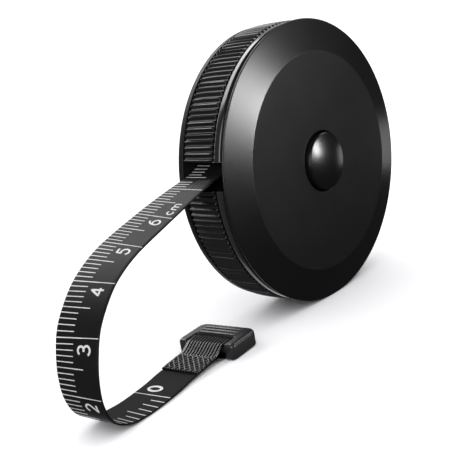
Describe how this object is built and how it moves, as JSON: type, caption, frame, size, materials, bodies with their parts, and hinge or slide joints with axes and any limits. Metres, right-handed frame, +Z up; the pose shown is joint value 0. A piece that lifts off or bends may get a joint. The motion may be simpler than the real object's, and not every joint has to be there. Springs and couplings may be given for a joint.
{
  "type": "retractable cloth tape measure",
  "caption": "Round push-button tape measure standing on its knurled rim, with a spring-wound reel, a brake and a loop of printed tape ending in a moulded tab.",
  "frame": {"origin": "bottom centre of the case, where the rim stands on the table, midway between the dome of the button and the rear face", "axes": "+Z up; +Y along the disc's axis towards the rear cover, so the button faces -Y; the tape leaves along -X"},
  "size_m": [0.1021, 0.0184, 0.06],
  "materials": {
    "satin_abs": "satin black moulded ABS",
    "gloss_abs": "gloss black moulded ABS",
    "grip_abs": "knurled black moulded ABS",
    "acetal": "natural moulded acetal",
    "nylon": "dark moulded nylon",
    "spring_steel": "blued spring steel",
    "rubber": "moulded friction rubber",
    "tape": "black coated woven tape, satin, printed in white"
  },
  "bodies": {
    "case": {"front_cover": "satin_abs", "trim_ring": "gloss_abs", "grip_rim": "grip_abs", "rear_cover": "satin_abs", "arbor": "acetal", "mainspring": "spring_steel", "thrust_washer": "acetal", "tape_lead": "tape", "button_spring": "spring_steel"},
    "reel": {"reel_drum": "nylon", "reel_lid": "nylon", "tape_anchor": "acetal", "tape_coil": "tape"},
    "button": {"push_button": "gloss_abs", "brake_disc": "acetal", "brake_ring": "rubber", "stem_clip": "spring_steel"},
    "tape_end": {"tape_free": "tape", "tape_fold": "tape"},
    "tab": {"end_tab": "satin_abs"}
  },
  "joints": [
    {"name": "reel_spin", "type": "hinge", "parent": "case", "child": "reel", "pos_m": [0, 0.00095, 0.03], "axis": [0, -1, 0], "range_deg": [0, 4400], "deforming": ["mainspring", "tape_coil"]},
    {"name": "tape_pull", "type": "slide", "parent": "case", "child": "tape_end", "axis": [-1, 0, 0], "range_m": [0, 1.37]},
    {"name": "button_press", "type": "slide", "parent": "case", "child": "button", "axis": [0, 1, 0], "range_m": [0, 0.0015], "stiffness_N_per_m": 500, "springref_m": -0.002, "deforming": ["button_spring"]},
    {"name": "tab_swivel", "type": "hinge", "parent": "tape_end", "child": "tab", "pos_m": [-0.0364, -0.00058, 0.0017], "axis": [0.1044, -0.9945, 0], "range_deg": [0, 120]}
  ],
  "couplings": [
    {"joint": "tape_pull", "follows": "reel_spin", "m_per_rad": 0.017725}
  ]
}
